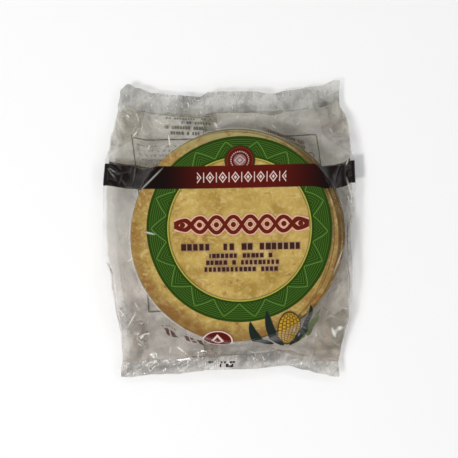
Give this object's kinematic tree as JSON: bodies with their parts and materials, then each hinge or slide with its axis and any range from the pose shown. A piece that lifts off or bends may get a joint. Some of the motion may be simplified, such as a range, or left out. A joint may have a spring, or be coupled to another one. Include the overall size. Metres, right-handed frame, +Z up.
{
  "type": "bag of corn tortillas",
  "caption": "Sealed clear film pack holding a round stack of corn tortillas, lying flat, with crimped ends and a printed green ring and dark band.",
  "frame": {"origin": "on the surface that the pack lies on, under the middle of its box", "axes": "+Z up through the printed front, +X across the pack, +Y along the film tube towards the end that is the head of the print"},
  "size_m": [0.187, 0.222, 0.0373],
  "materials": {
    "film": "clear, crisp, lightly creased",
    "tortilla": "matt, mottled, toasted in small spots",
    "print": "ink on the film, as glossy as the film"
  },
  "bodies": {
    "root": {"tortilla_pack": "film"}
  },
  "joints": []
}
